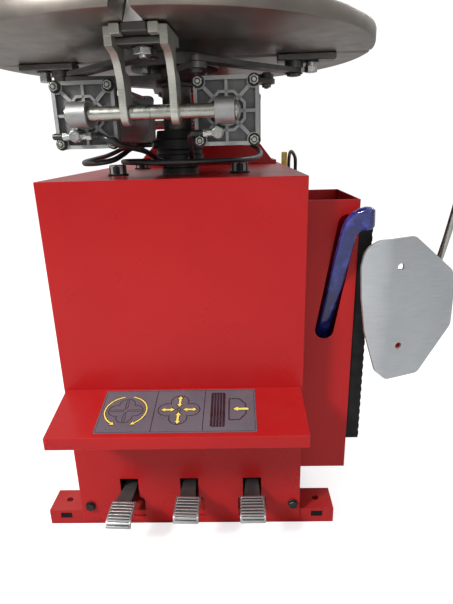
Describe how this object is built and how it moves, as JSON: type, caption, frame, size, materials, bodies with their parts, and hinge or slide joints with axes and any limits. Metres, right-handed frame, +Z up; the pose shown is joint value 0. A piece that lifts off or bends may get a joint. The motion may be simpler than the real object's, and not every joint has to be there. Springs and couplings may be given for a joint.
{
  "type": "tyre changer machine",
  "caption": "Floor-standing swing-arm tyre changer: red cabinet, clamping turntable with cylinders underneath, foot pedals, side bead breaker and mount head column.",
  "frame": {"origin": "centre of the bounding box at the floor", "axes": "+Z up, -Y towards the operator (front panel and pedals), +X towards the bead breaker"},
  "size_m": [0.8026, 0.7996, 1.684],
  "materials": {
    "red_paint": "gloss powder coat",
    "black_steel": "satin black",
    "zinc": "zinc plated",
    "cast_aluminium": "as cast",
    "disc_steel": "machined, oiled",
    "blade_steel": "satin",
    "rubber": "matt",
    "blue_sleeve": "steel lever in a glossy blue sleeve",
    "chrome": "polished",
    "motor_grey": "satin"
  },
  "bodies": {
    "cabinet": {"cabinet_shell": "red_paint", "rear_cover": "red_paint", "front_foot": "red_paint", "rear_foot": "red_paint", "pedal_ledge": "red_paint", "side_box": "red_paint", "bead_pad": "rubber", "arm_pivot_pin": "zinc", "gearbox": "cast_aluminium", "motor": "motor_grey", "drive_belt": "rubber", "pedal_frame": "black_steel", "air_valves": "cast_aluminium", "column": "red_paint", "column_seat": "red_paint", "air_unit": "black_steel", "air_loop": "rubber"},
    "turntable": {"turntable_disc": "disc_steel", "spindle": "zinc", "air_hub": "black_steel", "hose_left_front": "rubber", "hose_right_front": "rubber", "hose_left_rear": "rubber", "hose_right_rear": "rubber"},
    "worm_drive": {"worm_pulley": "cast_aluminium"},
    "motor_drive": {"motor_pulley": "black_steel"},
    "centring_plate": {"centring_plate": "disc_steel"},
    "front_slide": {"front_slide": "disc_steel", "front_fork": "disc_steel", "front_pin": "zinc", "cap_left": "cast_aluminium", "cap_right": "cast_aluminium", "barrel_left": "cast_aluminium", "barrel_right": "cast_aluminium"},
    "rear_slide": {"rear_slide": "disc_steel", "rear_fork": "disc_steel", "piston_rods": "chrome"},
    "left_slide": {"left_slide": "disc_steel"},
    "right_slide": {"right_slide": "disc_steel"},
    "link_front": {"link_front": "disc_steel"},
    "link_rear": {"link_rear": "disc_steel"},
    "link_left": {"link_left": "disc_steel"},
    "link_right": {"link_right": "disc_steel"},
    "pedal_left": {"pedal_left_pad": "cast_aluminium", "pedal_left_arm": "black_steel"},
    "pedal_middle": {"pedal_middle_pad": "cast_aluminium", "pedal_middle_arm": "black_steel"},
    "pedal_right": {"pedal_right_pad": "cast_aluminium", "pedal_right_arm": "black_steel"},
    "bead_cylinder": {"bead_cylinder": "cast_aluminium"},
    "bead_rod": {"bead_rod": "zinc"},
    "bead_arm": {"bead_arm": "red_paint", "bead_handle": "zinc"},
    "bead_blade": {"bead_blade": "blade_steel"},
    "tyre_lever": {"tyre_lever": "blue_sleeve"},
    "swing_arm": {"swing_arm": "red_paint"},
    "hex_shaft": {"hex_shaft": "chrome", "mount_head": "cast_aluminium"},
    "lock_lever": {"lock_lever": "black_steel"}
  },
  "joints": [
    {"name": "turntable_spin", "type": "hinge", "parent": "cabinet", "child": "turntable", "pos_m": [-0.07659, -0.07502, 0.84], "axis": [0, 0, 1], "continuous": true},
    {"name": "worm_spin", "type": "hinge", "parent": "cabinet", "child": "worm_drive", "pos_m": [-0.22659, -0.02002, 0.592], "axis": [1, 0, 0], "continuous": true},
    {"name": "motor_spin", "type": "hinge", "parent": "cabinet", "child": "motor_drive", "pos_m": [-0.22659, 0.23498, 0.47], "axis": [1, 0, 0], "continuous": true},
    {"name": "jaws_open", "type": "slide", "parent": "turntable", "child": "front_slide", "axis": [-0.0593, -0.9982, 0], "range_m": [-0.03, 0.045], "deforming": ["hose_left_front", "hose_right_front", "hose_left_rear", "hose_right_rear"]},
    {"name": "rear_jaw", "type": "slide", "parent": "turntable", "child": "rear_slide", "axis": [0.0593, 0.9982, 0], "range_m": [-0.03, 0.045]},
    {"name": "left_jaw", "type": "slide", "parent": "turntable", "child": "left_slide", "axis": [-0.9982, 0.0593, 0], "range_m": [-0.03, 0.045]},
    {"name": "right_jaw", "type": "slide", "parent": "turntable", "child": "right_slide", "axis": [0.9982, -0.0593, 0], "range_m": [-0.03, 0.045]},
    {"name": "plate_turn", "type": "hinge", "parent": "turntable", "child": "centring_plate", "pos_m": [-0.07659, -0.07502, 0.8065], "axis": [0, 0, 1], "range_deg": [-7.9, 11.8]},
    {"name": "link_front_turn", "type": "hinge", "parent": "front_slide", "child": "link_front", "pos_m": [-0.08847, -0.27497, 0.84], "axis": [0, 0, 1], "range_deg": [-5.1, 3.4]},
    {"name": "link_rear_turn", "type": "hinge", "parent": "rear_slide", "child": "link_rear", "pos_m": [-0.06471, 0.12492, 0.84], "axis": [0, 0, 1], "range_deg": [-5.1, 3.4]},
    {"name": "link_left_turn", "type": "hinge", "parent": "left_slide", "child": "link_left", "pos_m": [-0.27653, -0.06314, 0.84], "axis": [0, 0, 1], "range_deg": [-5.1, 3.4]},
    {"name": "link_right_turn", "type": "hinge", "parent": "right_slide", "child": "link_right", "pos_m": [0.12336, -0.0869, 0.84], "axis": [0, 0, 1], "range_deg": [-5.1, 3.4]},
    {"name": "pedal_left_press", "type": "hinge", "parent": "cabinet", "child": "pedal_left", "pos_m": [-0.18959, -0.07502, 0.088], "axis": [1, 0, 0], "range_deg": [-5, 8], "stiffness_Nm_per_rad": 30, "springref_deg": -1.15},
    {"name": "pedal_middle_press", "type": "hinge", "parent": "cabinet", "child": "pedal_middle", "pos_m": [-0.07559, -0.07502, 0.088], "axis": [1, 0, 0], "range_deg": [0, 8], "stiffness_Nm_per_rad": 30, "springref_deg": -6.88},
    {"name": "pedal_right_press", "type": "hinge", "parent": "cabinet", "child": "pedal_right", "pos_m": [0.04291, -0.07502, 0.088], "axis": [1, 0, 0], "range_deg": [0, 8], "stiffness_Nm_per_rad": 30, "springref_deg": -6.88},
    {"name": "bead_arm_swing", "type": "hinge", "parent": "cabinet", "child": "bead_arm", "pos_m": [0.18541, 0.34498, 0.36], "axis": [0, 0, 1], "range_deg": [0, 24]},
    {"name": "bead_cylinder_swivel", "type": "hinge", "parent": "cabinet", "child": "bead_cylinder", "pos_m": [-0.17659, 0.02498, 0.36], "axis": [0, 0, 1], "range_deg": [0, 8.2]},
    {"name": "bead_rod_stroke", "type": "slide", "parent": "bead_cylinder", "child": "bead_rod", "axis": [1, 0, 0], "range_m": [0, 0.127]},
    {"name": "blade_tilt", "type": "hinge", "parent": "bead_arm", "child": "bead_blade", "pos_m": [0.32841, -0.16302, 0.43], "axis": [0, 0, 1], "range_deg": [-5, 5]},
    {"name": "lever_out", "type": "slide", "parent": "cabinet", "child": "tyre_lever", "axis": [0.1221, -0.2814, 0.9518], "range_m": [0, 0.18]},
    {"name": "arm_swing", "type": "hinge", "parent": "cabinet", "child": "swing_arm", "pos_m": [-0.04659, 0.32698, 1.33], "axis": [0, 0, 1], "range_deg": [-20, 95]},
    {"name": "shaft_height", "type": "slide", "parent": "swing_arm", "child": "hex_shaft", "axis": [0, 0, 1], "range_m": [-0.055, 0.21]},
    {"name": "lock_turn", "type": "hinge", "parent": "swing_arm", "child": "lock_lever", "pos_m": [-0.03969, -0.1189, 1.39], "axis": [-0.9949, -0.1013, 0], "range_deg": [-35, 25]}
  ],
  "couplings": [
    {"joint": "worm_spin", "follows": "turntable_spin", "ratio": 60},
    {"joint": "motor_spin", "follows": "turntable_spin", "ratio": 92.571},
    {"joint": "rear_jaw", "follows": "jaws_open", "ratio": 1},
    {"joint": "left_jaw", "follows": "jaws_open", "ratio": 1},
    {"joint": "right_jaw", "follows": "jaws_open", "ratio": 1},
    {"joint": "plate_turn", "follows": "jaws_open", "rad_per_m": 4.5493},
    {"joint": "link_front_turn", "follows": "jaws_open", "rad_per_m": -1.9558},
    {"joint": "link_rear_turn", "follows": "jaws_open", "rad_per_m": -1.9558},
    {"joint": "link_left_turn", "follows": "jaws_open", "rad_per_m": -1.9558},
    {"joint": "link_right_turn", "follows": "jaws_open", "rad_per_m": -1.9558},
    {"joint": "bead_cylinder_swivel", "follows": "bead_arm_swing", "ratio": 0.335},
    {"joint": "bead_rod_stroke", "follows": "bead_arm_swing", "m_per_rad": 0.3}
  ]
}
